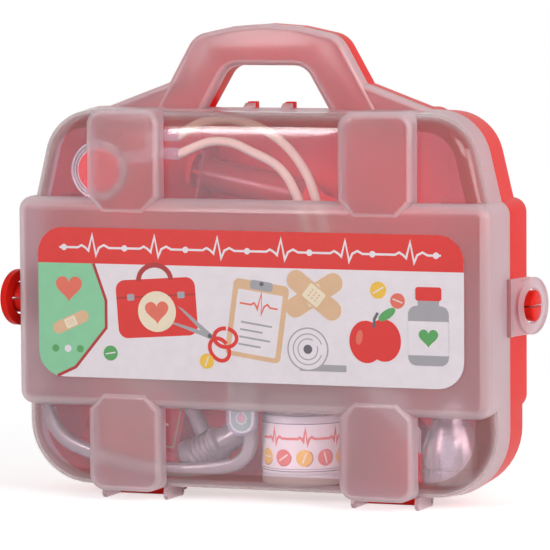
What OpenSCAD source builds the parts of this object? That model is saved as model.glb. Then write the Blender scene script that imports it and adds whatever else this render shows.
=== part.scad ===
// Toy doctor case: a translucent front lid hinged at the bottom on an opaque red rear shell, each
// carrying half of the top handle, with ring clips at both sides and seven play instruments inside.
// Millimetres, +Z up, the lid faces -Y, the case stands on its hinge feet at z = 0.

/* [Case] */
// Width of the case over the wide middle band
body_w = 300; // [290:1:320]
// Height of the deep part of the case, from the body's underside to its flat top
body_h = 229.2; // [225:0.1:245]
// Depth of each half at its strap faces
half_d = 41; // [40:0.5:46]
// Wall of both shells
wall = 2; // [1.6:0.1:2.4]
// Gap between lid and shell at the parting line
parting_gap = 0.3; // [0.2:0.05:0.5]
// How far the clear windows lie behind the lid's strap faces
window_recess = 10; // [8:0.5:11]
// How far the rear shell's plain back lies behind its strap faces
back_recess = 3; // [2:0.5:5]
// Draft of the side walls between the parting line and the front edge
draft = 1.5; // [0.5:0.1:2]
// Radius of the front edge round each window
window_r = 12; // [9:0.5:14]
// Radius of the lower corners
low_corner_r = 40; // [30:1:45]
// Radius of the upper corners
top_corner_r = 32; // [26:1:36]

/* [Band and straps] */
// Height of the band's lower edge above the underside of the body
band_low = 49.9; // [45:0.1:56]
// Height of the band
band_h = 126.6; // [120:0.1:132]
// Corner radius of the band seen from the front
band_r = 9; // [5:0.5:12]
// Radius of the band's front edge
band_edge_r = 8; // [5:0.5:8.5]
// How far the straps stand in front of the band
strap_step = 1.5; // [0.5:0.1:3]
// Distance of each strap's centre line from the middle of the case
strap_x = 79.8; // [74:0.1:86]
// Width of a strap
strap_w = 46.8; // [44:0.1:52]
// How far a strap's bevelled end reaches over the band
strap_lap = 10; // [8:0.5:11]
// Radius of a strap's front edge
strap_edge_r = 4.5; // [3:0.5:6]

/* [Handle] */
// Width of the handle where it meets the case
handle_w = 142; // [136:1:148]
// Width of the handle's flat top between its corner arcs
handle_top_w = 72; // [66:1:78]
// Height of the handle above the case's flat top
handle_h = 50; // [46:0.5:54]
// Radius of the handle's upper corners
handle_r = 15.5; // [12:0.5:17]
// Width of the finger opening at its foot
grip_w = 79; // [74:0.5:84]
// Height of the finger opening
grip_h = 25.4; // [22:0.1:27]
// Radius of the finger opening's upper corners
grip_r = 12.2; // [9:0.1:13]
// Depth of the lid's half of the handle
handle_front_d = 9; // [8:0.5:12]
// Depth of the shell's half of the handle
handle_rear_d = 15; // [12:0.5:18]
// Rounding of the handle's edges
handle_edge_r = 4; // [3:0.5:5]

/* [Hinge] */
// Diameter of the hinge knuckles and ears
knuckle_d = 5.8; // [5:0.1:7]
// Diameter of the hinge pins
pin_d = 3; // [2:0.1:3.4]
// Radial clearance of the pins in their bores
pin_gap = 0.1; // [0.08:0.01:0.1]
// Distance of each ear from its strap's centre line
ear_x = 20; // [18:0.1:20.4]
// Thickness of an ear and of a foot rib
ear_t = 2.4; // [2:0.1:3]
// Gap between the turning ears and the shell above and beside them
hinge_gap = 0.5; // [0.4:0.05:0.8]

/* [Side clips] */
// Diameter of the clip rings, and height of their tabs
ring_d = 34; // [30:0.5:38]
// Hole in the clip rings
ring_hole_d = 21.4; // [19:0.1:22]
// Distance from a tab's living hinge to the middle of its ring
ring_reach = 17.5; // [17:0.1:20]
// Thickness of a clip's tab
tab_t = 2; // [1.6:0.1:2.4]
// How far the ring's collar stands on the tab
collar_t = 2.5; // [1.5:0.1:3.5]
// Outward lean of a tab, degrees
tab_lean = 14; // [12:1:16]
// Clearance between a split stud and the ring round it
stud_gap = 1.4; // [1.2:0.1:1.8]
// Length of a split stud
stud_l = 7.6; // [6:0.1:8]
// Slit across a split stud
slit_w = 1.2; // [0.8:0.1:2]

/* [Label] */
// Width of the printed card on the band
card_w = 269.5; // [260:0.5:272]
// Height of the printed card
card_h = 90; // [84:0.5:96]
// Corner radius of the printed card
card_r = 16; // [10:0.5:18]
// Thickness of the printed card
card_t = 0.4; // [0.3:0.05:0.6]

/* [Play instruments] */
// Gap between a stored piece and what it rests on
seat = 0.3; // [0.2:0.05:0.5]
// Diameter of the pill jar
jar_d = 50.4; // [44:0.1:51]
// Height of the pill jar without its cap
jar_h = 52; // [46:0.5:56]
// Wall of the jar and its cap
jar_wall = 1.6; // [1.2:0.1:2]
// Height of the jar's cap
cap_h = 13; // [10:0.5:14]
// Width of the plaster carton
carton_w = 62; // [54:1:64]
// Height of the plaster carton
carton_h = 98; // [90:1:104]
// Depth of the plaster carton
carton_d = 21; // [18:0.5:24]
// Tilt of the carton, degrees
carton_tilt = 13; // [10:1:15]
// Diameter of the stethoscope's chest piece
chest_d = 36; // [30:0.5:38]
// Thickness of the chest piece
chest_t = 9; // [7:0.5:10]
// Diameter of the stethoscope's tubes
tube_d = 5.5; // [5:0.1:6]
// Width of the headset's arms
arm_w = 8; // [7:0.5:9]
// Length of the headset from its ear end to its tube sockets
headset_l = 137; // [132:0.5:138]
// Diameter of the syringe barrel
syringe_d = 20; // [16:0.5:22]
// Length of the syringe barrel
syringe_l = 68; // [60:1:72]
// Diameter of the hammer's head
hammer_d = 23; // [18:0.5:25]
// Length of the hammer's head
hammer_l = 44; // [38:0.5:48]
// Length of the hammer's handle
hammer_handle_l = 92; // [80:1:96]
// Largest diameter of the otoscope's head
otoscope_d = 35; // [30:0.5:37]
// Height of the otoscope's head
otoscope_h = 50; // [44:0.5:54]
// Length of the otoscope's handle
otoscope_handle_l = 88; // [78:1:92]
// Width of the thermometer
thermometer_w = 19; // [16:0.5:20]
// Length of the thermometer
thermometer_l = 112; // [100:1:118]
// Thickness of the thermometer
thermometer_t = 7; // [5:0.1:7.4]

/* [Packing] */
// Room before and behind the thermometer, between the window and the headset
front_room = 1; // [0.6:0.1:2]
// Height of the headset's lower arm above the underside of the body
arm_rise = 11.5; // [11:0.1:14]
// Clearance between the jar's cap and the headset's link
cap_gap = 1.35; // [0.5:0.05:2]
// Height of the lower tube socket above the jar's rim
socket_rise = 19; // [18:0.5:21]
// Distance between the two tube sockets
socket_pitch = 14; // [12:0.5:16]
// Length of a tube socket
socket_l = 12; // [9:0.5:14]
// Distance of the chest piece's centre from the middle of the case
chest_x = 100; // [96:0.5:104]
// Depth of the chest piece's centre below the flat top
chest_drop = 37.5; // [36:0.5:42]
// Gap between the chest piece and the window
chest_gap = 1.5; // [1:0.1:3]
// Distance from the chest piece's centre to the tubes' ends in their fork
fork_reach = 51; // [48:0.5:54]
// Length of the fork's sleeves
fork_l = 18; // [14:0.5:20]
// Distance from the headset's link to the carton's lower right corner
carton_reach = 62; // [58:0.5:66]
// Height of the carton's lower right corner above the underside of the body
carton_rise = 11; // [8:0.5:14]
// Distance from the headset's link to the middle of the thermometer
thermometer_reach = 2.4; // [0:0.1:4]
// Height of the thermometer's round end above the underside of the body
thermometer_rise = 34.5; // [30:0.5:40]
// Distance of the syringe's flange from the middle of the case
syringe_x = 52; // [48:0.5:56]
// Height of the syringe's flange above the band
syringe_rise = 11.6; // [10.6:0.1:13]
// Downward tilt of the syringe, degrees
syringe_tilt = 11.6; // [10:0.1:13]
// Distance from the headset's link to the middle of the hammer's head
hammer_reach = 27.5; // [26:0.5:30]
// Height of the middle of the hammer's head above the underside of the body
hammer_rise = 26; // [25:0.5:32]
// Tilt of the hammer, degrees
hammer_tilt = 28; // [24:1:32]
// Distance of the otoscope's middle from the case's side
otoscope_inset = 38; // [36:0.5:42]
// Lean of the otoscope's handle, degrees
otoscope_lean = 40; // [36:1:44]

/* [Hidden] */

red = [0.9, 0.16, 0.13];
frosted = [0.92, 0.78, 0.77, 0.6];
clear = [0.85, 0.88, 0.9, 0.5];
grey = [0.62, 0.6, 0.62];
white = [0.93, 0.92, 0.88];
eps = 0.01;
front = -1;
rear = 1;

// Case levels, from the ground up
hinge_z = knuckle_d / 2;
base_z = knuckle_d + hinge_gap;
top_z = base_z + body_h;
band_z0 = base_z + band_low;
band_z1 = band_z0 + band_h;
band_mid = (band_z0 + band_z1) / 2;
// Height of the inner floor of a half whose body is core_d deep, at a distance y from the parting
function floor_at(core_d, y) = let (s = core_d - window_r) base_z + (y <= s ? wall + draft * y / s
    : draft + window_r - sqrt(pow(window_r - wall, 2) - pow(y - s, 2)));
half_w = body_w / 2;
// Inner faces of the windows and of the shell's back, and the plane midway between them
window_in = -(half_d - window_recess - wall);
back_in = half_d - back_recess - wall - seat;
mid_y = (window_recess - back_recess) / 2;
band_d = half_d - strap_step;
clip_z = band_mid;
side_in = half_w - wall - draft / 2;

// Depth and inset of each slice of a pillow: straight drafted wall, then a quarter-round edge.
// t is how far the slices lie inside the outer skin.
function slices(depth, edge_r, lean, t) = concat(
    [[t > 0 ? -1 : parting_gap / 2 + eps, t]],
    [for (a = [0 : 22.5 : 90])
        [depth - edge_r + (edge_r - t) * sin(a), lean + edge_r - (edge_r - t) * cos(a)]]);

// Convex moulded form: outline from corner circles [x, z, r], lofted through its slices
module pillow(side, corners, levels) {
    hull() for (lv = levels)
        translate([0, side > 0 ? lv[0] : eps - lv[0], 0]) rotate([90, 0, 0])
            linear_extrude(eps) offset(r = -lv[1])
                hull() for (c = corners) translate([c[0], c[1]]) circle(c[2], $fn = 32);
}

function mirrored(pts) = concat(pts, [for (p = pts) [-p[0], p[1], p[2]]]);

core_corners = mirrored([
    [half_w - low_corner_r, base_z + low_corner_r, low_corner_r],
    [half_w - 10, band_z1 - 23, 10],
    [half_w - 43, top_z - top_corner_r, top_corner_r]]);
band_corners = mirrored([
    [half_w - band_r, band_z0 + band_r, band_r],
    [half_w - band_r, band_z1 - band_r, band_r]]);
handle_crown = 5;
handle_corners = mirrored([
    [handle_w / 2 - 1, top_z - 3, 2],
    [handle_top_w / 2, top_z + handle_h - handle_crown - handle_r, handle_r],
    [handle_top_w / 4, top_z + handle_h - handle_crown / 4 - handle_r, handle_r],
    [0, top_z + handle_h - handle_r, handle_r]]);
grip_corners = mirrored([
    [grip_w / 2 + 1, top_z - 4, 1],
    [grip_w / 2 - 22, top_z + grip_h - grip_r, grip_r]]);
shoulder_x0 = handle_w / 2 - 14;
shoulder_corners = [
    [shoulder_x0, top_z + 11, 5.5],
    [half_w - 45.5, top_z - 6.5, 5.5],
    [shoulder_x0 - 7, top_z - 12, 4],
    [half_w - 50, top_z - 20, 5]];
strap_half = strap_w / 2;
strap_r = 10;
upper_strap = mirrored_about([[strap_half - strap_r, top_z - strap_r, strap_r],
    [strap_half - 0.5, band_z1 + 0.5, 0.5], [strap_half - strap_r, band_z1 - strap_lap + 0.5, 0.5]]);
lower_strap = mirrored_about([[strap_half - strap_r, base_z + strap_r, strap_r],
    [strap_half - 0.5, band_z0 - 0.5, 0.5], [strap_half - strap_r, band_z0 + strap_lap - 0.5, 0.5]]);
function mirrored_about(pts) = concat(
    [for (p = pts) [strap_x + p[0], p[1], p[2]]], [for (p = pts) [strap_x - p[0], p[1], p[2]]]);

// One half of the case as a solid, t inside its outer skin (0 is the skin itself)
module half_form(side, core_d, handle_d, t) {
    pillow(side, core_corners, slices(core_d, window_r, draft, t));
    pillow(side, band_corners, slices(band_d, band_edge_r, 0.3, t));
    for (m = [0, 1]) mirror([m, 0, 0]) {
        for (strap = [upper_strap, lower_strap])
            pillow(side, strap, slices(half_d, strap_edge_r, 0, t));
        pillow(side, shoulder_corners, slices(handle_d - 1, handle_edge_r, 0, t));
    }
    difference() {
        pillow(side, handle_corners, slices(handle_d, handle_edge_r, 0, t));
        grip_cut(t);
    }
}

// The finger opening, t wider all round
module grip_cut(t) {
    rotate([90, 0, 0]) linear_extrude(4 * half_d, center = true)
        offset(delta = t) hull() for (c = grip_corners) translate([c[0], c[1]]) circle(c[2], $fn = 32);
}

module half_shell(side, core_d, handle_d) {
    difference() {
        half_form(side, core_d, handle_d, 0);
        half_form(side, core_d, handle_d, wall);
    }
}

// Split stud on a side wall, drawn at the right side of the rear shell
hinge_root_y = 0.3;
stud_r = ring_hole_d / 2 - stud_gap;
stud_y = hinge_root_y + ring_reach * cos(tab_lean) - tab_t / 2 * sin(tab_lean);
module stud() {
    root = 1;
    translate([half_w - root, stud_y, clip_z]) difference() {
        rotate([0, 90, 0]) cylinder(r = stud_r, h = root + stud_l, $fn = 40);
        translate([root + stud_l / 3, -stud_r - 1, -slit_w / 2]) cube([stud_l, 2 * stud_r + 2, slit_w]);
    }
}

// Raised pad that carries a clip's living hinge, drawn at the lid's right edge
root_r = tab_t / 2 + 0.1;
root_x = half_w + root_r + 0.4;
module clip_pad() {
    pad_l = 5;
    translate([half_w - 1, hinge_root_y - root_r - seat - pad_l, clip_z - ring_d / 2])
        cube([root_x + root_r - half_w + 1, pad_l, ring_d]);
}

// Feet and hinge: ribs under the straps, the lid's end in eyes beside the shell's long knuckles.
// Outlines are [distance from the parting plane, height].
foot_l = 29;
foot_bevel = 2.5;
// Rise of a strap's rounded lower corner above the underside, at a distance x from its centre line
function strap_rise(x) = strap_r - sqrt(pow(strap_r, 2) - pow(max(0, x - strap_half + strap_r), 2));
// An ear follows the lid's drafted underside until it meets the corner of the strap beside it
lid_wall = half_d - window_recess - window_r;
ear_rise = min(draft, strap_rise(ear_x - ear_t / 2) - 0.15);
ear_start = parting_gap / 2 + eps;
ear_seat = ear_start + (lid_wall - ear_start) * ear_rise / draft;
ear_front = lid_wall + 4.6;
ear_outline = [[0, 0], [ear_front - 1.5, 0], [ear_front + 1, foot_bevel],
    [ear_front, base_z + ear_rise], [ear_seat, base_z + ear_rise],
    [ear_start, base_z], [ear_start, knuckle_d], [0, knuckle_d]];
rib_outline = [[parting_gap / 2, 0], [foot_l, 0], [foot_l + foot_bevel, foot_bevel],
    [foot_l + foot_bevel, base_z], [parting_gap / 2, base_z]];

module rib(outline, side) {
    rotate([90, 0, 90]) linear_extrude(ear_t, center = true)
        polygon([for (p = outline) [side * p[0], p[1]]]);
}

module x_rod(r, l) { rotate([0, 90, 0]) cylinder(r = r, h = l, center = true, $fn = 32); }
bore_r = pin_d / 2 + pin_gap;
knuckle_half = ear_x - ear_t / 2 - parting_gap;
rib_x = strap_half - strap_r - ear_t;
catch_x = 12;
catch_w = 5.5;

module rear_shell() {
    color(red) {
        half_shell(rear, half_d - back_recess, handle_rear_d);
        stud();
        rotate([0, 0, 180]) clip_pad();
        for (s = [-1, 1]) translate([s * catch_x - catch_w / 2, parting_gap, top_z - wall / 2])
            cube([catch_w, 6, wall / 2 + 3.5]);
    }
}

// Long knuckles and rear feet, moulded on the shell's lower straps
module shell_hinge_feet() {
    color(red) for (s = [-1, 1]) translate([s * strap_x, 0, 0]) difference() {
        union() {
            translate([0, 0, hinge_z]) x_rod(knuckle_d / 2, 2 * knuckle_half);
            translate([-knuckle_half, parting_gap / 2, hinge_z])
                cube([2 * knuckle_half, knuckle_d / 2 - parting_gap / 2, base_z - hinge_z]);
            for (e = [-1, 1]) translate([e * rib_x, 0, 0]) rib(rib_outline, rear);
        }
        translate([0, 0, hinge_z]) x_rod(bore_r, strap_w);
    }
}

module front_lid() {
    color(frosted) {
        half_shell(front, half_d - window_recess, handle_front_d);
        rotate([0, 0, 180]) stud();
        clip_pad();
        for (s = [-1, 1]) translate([s * catch_x, 0, top_z - wall / 2]) rotate([90, 0, 90])
            linear_extrude(catch_w, center = true)
                polygon([[-9, 0], [-parting_gap, 0], [-parting_gap, 3.8], [-2.6, 3.8]]);
    }
}

// Eyes and front feet, moulded on the lid's lower straps
module lid_hinge_ears() {
    color(frosted) for (s = [-1, 1], e = [-1, 1]) translate([s * strap_x + e * ear_x, 0, 0]) difference() {
        union() {
            rib(ear_outline, front);
            translate([0, 0, hinge_z]) x_rod(knuckle_d / 2, ear_t);
        }
        translate([0, 0, hinge_z]) x_rod(bore_r, 2 * ear_t);
    }
}

// Ring clip: tab, ring and collar lean outward from a living hinge along Z
module clip_form() {
    hole_r = ring_hole_d / 2;
    translate([root_x, hinge_root_y, clip_z]) rotate([0, 0, -tab_lean]) difference() {
        union() {
            cylinder(r = root_r, h = ring_d, center = true, $fn = 32);
            translate([-tab_t / 2, 0, -ring_d / 2]) cube([tab_t, ring_reach, ring_d]);
            translate([-tab_t / 2, ring_reach, 0]) rotate([0, 90, 0])
                cylinder(r = ring_d / 2, h = tab_t + collar_t, $fn = 64);
        }
        translate([-tab_t, ring_reach, 0]) rotate([0, 90, 0])
            cylinder(r = hole_r, h = 3 * (tab_t + collar_t), $fn = 64);
    }
}
module right_clip() { color(frosted) clip_form(); }
module left_clip() { color(red) rotate([0, 0, 180]) clip_form(); }

module hinge_pins() {
    color(grey) for (s = [-1, 1]) translate([s * strap_x, 0, hinge_z])
        x_rod(pin_d / 2, 2 * ear_x + ear_t);
}

module rounded_rect(w, h, r) {
    square([w - 2 * r, h], center = true);
    square([w, h - 2 * r], center = true);
    for (x = [-1, 1], y = [-1, 1])
        translate([x * (w / 2 - r), y * (h / 2 - r)]) circle(r, $fn = 48);
}

module label_card() {
    color(white) translate([0, -band_d, band_mid]) rotate([90, 0, 0])
        linear_extrude(card_t) rounded_rect(card_w, card_h, card_r);
}

// ---- where the jar stands: clear of both halves' rounded floors ----
jar_foot_r = jar_d / 2 - 2;
jar_y = mid_y;
jar_z = seat + 0.2 + max(floor_at(half_d - window_recess, jar_foot_r - jar_y),
    floor_at(half_d - back_recess, jar_foot_r + jar_y));

// ---- stethoscope ----
arm_r = arm_w / 2;
headset_y = window_in + front_room + thermometer_t + arm_r;
ear_r = arm_r + 1.6;
arm_bend_r = 30;
arm_long_r = 173.5;
arm_turn_r = 16;
bend_x = -side_in + 5 * seat + ear_r + arm_bend_r;
link_x = bend_x - arm_bend_r - arm_r + headset_l;
low_z = base_z + arm_rise;
// The long arc joins the ear bend and the corner turn, tangent to both
long_x = (bend_x + link_x - arm_turn_r) / 2 + 10;
long_z = low_z + arm_long_r;
function join_z(x, r) = long_z - sqrt(pow(arm_long_r - r, 2) - pow(x - long_x, 2));
function join_a(x, r) = atan2(join_z(x, r) - long_z, x - long_x);
bend_z = join_z(bend_x, arm_bend_r);
turn_x = link_x - arm_turn_r;
turn_z = join_z(turn_x, arm_turn_r);
headset_mid = bend_z + 12;
socket_z = [for (s = [0, 1]) jar_z + jar_h + socket_rise + s * socket_pitch];

// Points on the headset's centre line: ear bend, long arc and corner turn of one arm
function arm_arc(x, z, r, a0, a1, n) = [for (i = [0 : n - 1]) let (a = a0 + (a1 - a0) * i / n)
    [x + r * cos(a), headset_y, z + r * sin(a)]];
ear_a = 190;
bend_a = 360 + join_a(bend_x, arm_bend_r);
turn_a = 360 + join_a(turn_x, arm_turn_r);
lower_arm = concat(arm_arc(bend_x, bend_z, arm_bend_r, ear_a, bend_a, 5),
    arm_arc(long_x, long_z, arm_long_r, bend_a, turn_a, 8), arm_arc(turn_x, turn_z, arm_turn_r, turn_a, 360, 5),
    [[link_x, headset_y, turn_z]]);
arm_n = len(lower_arm);
headset_line = concat(lower_arm,
    [for (i = [arm_n - 1 : -1 : 0]) [lower_arm[i][0], headset_y, 2 * headset_mid - lower_arm[i][2]]]);
ear_dir = [sin(ear_a), 0, -cos(ear_a)];

module headset() {
    color(grey) {
        swept(headset_line, -ear_dir, [ear_dir[0], 0, -ear_dir[2]], arm_r, 12, 4);
        for (z = socket_z) translate([link_x, headset_y, z]) rotate([0, 90, 0])
            cylinder(r = arm_r - 0.2, h = socket_l, $fn = 32);
    }
}

// Ear tips, face to face with the arms' ends
module ear_tip() {
    translate(lower_arm[0]) rotate([0, 180 - ear_a, 0]) rotate_extrude($fn = 40)
            polygon([[0, 0], [3, 0], [3.4, 2.4], [5, 3.6], [ear_r, 5.4], [5.2, 7.2], [3.4, 8.2], [0, 8.6]]);
}

module ear_tips() {
    color(grey) {
        ear_tip();
        translate([0, 0, 2 * headset_mid]) mirror([0, 0, 1]) ear_tip();
    }
}

// Free tubes: hand-chosen routes, each ring square to the route
chest_y = window_in + chest_gap + chest_t / 2;
chest_z = top_z - chest_drop;
fork_x = fork_reach - chest_x;
fork_z = [chest_z + 21.5, chest_z + 10.5];
outer_route = [
    [link_x + socket_l, headset_y, socket_z[0]], [11, -17, 82], [20, -17, 84], [30, -16, 90],
    [37, -15, 100], [41, -14, 113], [42, -13, 127], [42, -12, 142], [40, -12, 157], [37, -12, 170],
    [33, -12, 183], [28, -12, 196], [19, -12, 209], [9, -12, 218], [-4, -12, 225], [-20, -12, 229],
    [-34, -15, 228], [-43, -20, 224], [fork_x, chest_y, fork_z[0]]];
inner_route = [
    [link_x + socket_l, headset_y, socket_z[1]], [11, -17, 96], [18, -17, 99], [24, -17, 105],
    [28, -18, 115], [31, -18, 128], [31, -18, 142], [30, -18, 156], [28, -18, 170], [24, -18, 183],
    [17, -18, 196], [8, -18, 204], [-5, -18, 210], [-17, -18, 215], [-29, -19, 216],
    [-39, -21, 213], [fork_x, chest_y, fork_z[1]]];
function unit(v) = v / norm(v);
function tangent(p, i, first, last) = i == 0 ? first : i == len(p) - 1 ? last : unit(p[i + 1] - p[i - 1]);
// Section square to the line: round where power is 2, squarish where it is higher
function bulge(a, power) = pow(pow(abs(cos(a)), power) + pow(abs(sin(a)), power), -1 / power);
function ring(c, t, r, n, power) = let (u = unit(cross(t, [0, 1, 0.001])), w = cross(t, u))
    [for (k = [0 : n - 1]) let (a = 360 * k / n) c + r * bulge(a, power) * (u * cos(a) + w * sin(a))];
module swept(route, first, last, r, sides, power = 2) {
    end = len(route) - 1;
    points = [for (i = [0 : end]) each ring(route[i], tangent(route, i, first, last), r, sides, power)];
    walls = [for (i = [0 : end - 1], k = [0 : sides - 1]) let (
        a = i * sides + k, b = i * sides + (k + 1) % sides)
        each [[a, b + sides, b], [a, a + sides, b + sides]]];
    polyhedron(points, concat(walls, [[for (k = [0 : sides - 1]) k]],
        [[for (k = [sides - 1 : -1 : 0]) end * sides + k]]), convexity = 6);
}
module outer_tube() { color(white) swept(outer_route, [1, 0, 0], [-1, 0, 0], tube_d / 2, 10); }
module inner_tube() { color(white) swept(inner_route, [1, 0, 0], [-1, 0, 0], tube_d / 2, 10); }

module chest_piece() {
    r = chest_d / 2;
    color(grey) translate([-chest_x, chest_y, chest_z]) rotate([90, 0, 0]) rotate_extrude($fn = 64)
        polygon([[0, -chest_t / 2], [r - 4, -chest_t / 2], [r, -chest_t / 2 + 3], [r, chest_t / 2 - 2],
            [r - 1.5, chest_t / 2], [r - 3.5, chest_t / 2], [r - 4.5, chest_t / 2 - 1.6], [0, chest_t / 2 - 1.6]]);
}

module chest_disc() {
    color(red) translate([-chest_x, chest_y - chest_t / 2 + 1.5, chest_z]) rotate([90, 0, 0])
        cylinder(r = chest_d / 2 - 6, h = 1.2, $fn = 64);
}

// Clear fork: two sleeves for the tubes, a bridge between them and a tongue to the chest piece's rim
module tube_connector() {
    sleeve_r = tube_d / 2 + 0.85;
    sleeve_x = fork_x - fork_l;
    bridge_w = 5;
    bridge_t = 6;
    tongue_l = 14;
    tongue_w = 7;
    tongue_t = 4;
    color(clear) difference() {
        union() {
            for (z = fork_z) translate([sleeve_x, chest_y, z]) rotate([0, 90, 0])
                cylinder(r = sleeve_r, h = fork_l, $fn = 32);
            translate([sleeve_x - bridge_w + 2, chest_y - bridge_t / 2, fork_z[1] - sleeve_r])
                cube([bridge_w, bridge_t, fork_z[0] - fork_z[1] + 2 * sleeve_r]);
            translate([sleeve_x - bridge_w + 3 - tongue_l, chest_y - tongue_t / 2, chest_z + 5])
                cube([tongue_l, tongue_t, tongue_w]);
        }
        translate([-chest_x, chest_y, chest_z]) rotate([90, 0, 0])
            cylinder(r = chest_d / 2 + 0.05, h = chest_t, center = true, $fn = 64);
    }
}

// ---- pill jar ----
cap_r = jar_d / 2 + 1.2;
// The cap stays clear of the rear right corner of the headset's link
jar_x = link_x + arm_r + sqrt(pow(cap_r + cap_gap, 2) - pow(jar_y - headset_y - arm_r, 2));
neck_h = cap_h - 4;
module at_jar() { translate([jar_x, jar_y, jar_z]) children(); }
module pill_jar() {
    r = jar_d / 2;
    neck_r = r - 2.4;
    color(white) at_jar() rotate_extrude($fn = 72) polygon([
        [0, 0], [jar_foot_r, 0], [r, 2], [r, jar_h - neck_h - 1.4], [r - 1, jar_h - neck_h],
        [neck_r, jar_h - neck_h], [neck_r, jar_h], [neck_r - jar_wall, jar_h],
        [neck_r - jar_wall, jar_h - neck_h - 1], [r - jar_wall, jar_h - neck_h - 4],
        [r - jar_wall, jar_wall], [0, jar_wall]]);
}
module jar_label() {
    r = jar_d / 2 + 0.05;
    color(white) at_jar() rotate_extrude($fn = 72)
        translate([r, 9]) square([0.3, jar_h - neck_h - 13]);
}
module jar_cap() {
    neck_r = jar_d / 2 - 2.4;
    z0 = jar_h - neck_h + 0.4;
    color(grey) at_jar() rotate_extrude($fn = 72) polygon([
        [neck_r + 0.3, z0], [cap_r, z0], [cap_r, z0 + cap_h - 2], [cap_r - 2, z0 + cap_h],
        [0, z0 + cap_h], [0, jar_h + 0.4], [neck_r + 0.3, jar_h + 0.4]]);
}

// ---- plaster carton, its back against the shell ----
carton_back = back_in - 2 * seat;
module plaster_carton() {
    color(red) translate([link_x - carton_reach, carton_back, base_z + carton_rise]) rotate([0, carton_tilt, 0])
        translate([-carton_w, -carton_d, 0]) cube([carton_w, carton_d, carton_h]);
}

// ---- thermometer, its back against the headset's link ----
thermometer_z = base_z + thermometer_rise;
module thermometer_outline(grow) {
    w = thermometer_w + 2 * grow;
    translate([0, w / 2 - grow]) circle(w / 2, $fn = 48);
    translate([-w / 2, thermometer_w / 2]) square([w, thermometer_l - thermometer_w / 2 + grow]);
}
module at_thermometer() {
    translate([link_x - thermometer_reach, headset_y - arm_r - seat, thermometer_z]) rotate([90, 0, 0]) children();
}
module thermometer_case() {
    shell = 1.5;
    color(clear) at_thermometer() difference() {
        linear_extrude(thermometer_t) thermometer_outline(0);
        translate([0, 0, shell]) linear_extrude(thermometer_t - 2 * shell) intersection() {
            thermometer_outline(-shell);
            translate([-thermometer_w, 22]) square([2 * thermometer_w, thermometer_l]);
        }
    }
}
module thermometer_scale() {
    inset = 1.5 + seat;
    color([0.45, 0.75, 0.5]) at_thermometer() translate([-thermometer_w / 2 + inset, 22 + seat, inset])
        cube([thermometer_w - 2 * inset, thermometer_l - 22 - 2 * inset, thermometer_t - 2 * inset]);
}

// ---- syringe, lying along the shell's back above the band ----
syringe_r = syringe_d / 2;
barrel_wall = 1.4;
syringe_z = band_z1 + syringe_rise;
module at_syringe() {
    translate([-syringe_x, back_in - syringe_r - 1, syringe_z])
        rotate([0, 90 + syringe_tilt, 0]) children();
}
bore_d = syringe_d - 2 * barrel_wall;
module syringe_barrel() {
    color([0.85, 0.2, 0.16, 0.8]) at_syringe() difference() {
        union() {
            cylinder(r = syringe_r, h = syringe_l, $fn = 48);
            cylinder(r = syringe_r + 1, h = 2, $fn = 48);
            intersection() {
                cylinder(r = syringe_r + 8, h = 2, $fn = 48);
                translate([-50, -syringe_r - 0.9, 0]) cube([100, 2 * syringe_r + 1.8, 2]);
            }
        }
        translate([0, 0, -1]) cylinder(d = bore_d, h = syringe_l + 2, $fn = 48);
    }
}
module syringe_tip() {
    plug = 4;
    color(red) at_syringe() translate([0, 0, syringe_l]) rotate_extrude($fn = 48) polygon([
        [0, -plug], [bore_d / 2 - 0.05, -plug], [bore_d / 2 - 0.05, 0], [syringe_r, 0], [syringe_r - 1, 3],
        [5, 8], [4, 10], [2.4, 20], [1.6, 21], [0, 21]]);
}
module syringe_plunger() {
    piston_r = bore_d / 2 - 0.1;
    rod_l = syringe_l - 12;
    knob_r = syringe_r + 0.5;
    color(red) at_syringe() translate([0, 0, -6]) {
        translate([0, 0, rod_l]) cylinder(r = piston_r, h = 8, $fn = 48);
        for (a = [0, 90]) rotate([0, 0, a]) translate([-piston_r + 1, -1, 0])
            cube([2 * piston_r - 2, 2, rod_l + 1]);
        translate([0, 0, -2.5]) cylinder(r = knob_r, h = 3, $fn = 48);
    }
}

// ---- reflex hammer, its head behind the headset's lower arm ----
hammer_r = hammer_d / 2;
module at_hammer() {
    translate([link_x - hammer_reach, headset_y + arm_r + seat + hammer_r, base_z + hammer_rise])
        rotate([0, -hammer_tilt, 0]) children();
}
module hammer_head() {
    h = hammer_l / 2;
    face_l = 7;
    waist_l = 11.5;
    cuff_l = 4;
    cone_l = 8;
    cuff_x = -h + face_l + 1.5 + waist_l;
    waist_r = hammer_r - 2;
    color(grey) at_hammer() rotate([0, 90, 0]) rotate_extrude($fn = 48) polygon([
        [0, -h], [hammer_r - 1, -h], [hammer_r, -h + 1], [hammer_r, -h + face_l],
        [waist_r, -h + face_l + 1.5], [waist_r, cuff_x], [waist_r + 1, cuff_x + 1.5],
        [waist_r + 1, cuff_x + cuff_l], [waist_r - 1, cuff_x + cuff_l + 2],
        [waist_r - 1.6, h - cone_l], [waist_r - 4, h - 3], [waist_r - 7, h - 0.6], [0, h]]);
}
module hammer_handle() {
    neck_l = 34;
    neck_r = 5;
    grip_end_r = 6.4;
    seat_z = hammer_r - 4;
    l = hammer_handle_l;
    color(grey) at_hammer() translate([-5, 0, 0]) difference() {
        translate([0, 0, seat_z]) rotate_extrude($fn = 40) polygon([
            [0, 0], [neck_r, 0], [neck_r - 0.8, neck_l], [neck_r + 0.2, neck_l + 2], [neck_r + 1, neck_l + 4],
            [grip_end_r, l - 12], [grip_end_r - 0.4, l - 4], [grip_end_r - 2.4, l], [0, l]]);
        rotate([0, 90, 0]) cylinder(r = hammer_r - 0.3, h = hammer_l, center = true, $fn = 48);
    }
}

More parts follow.
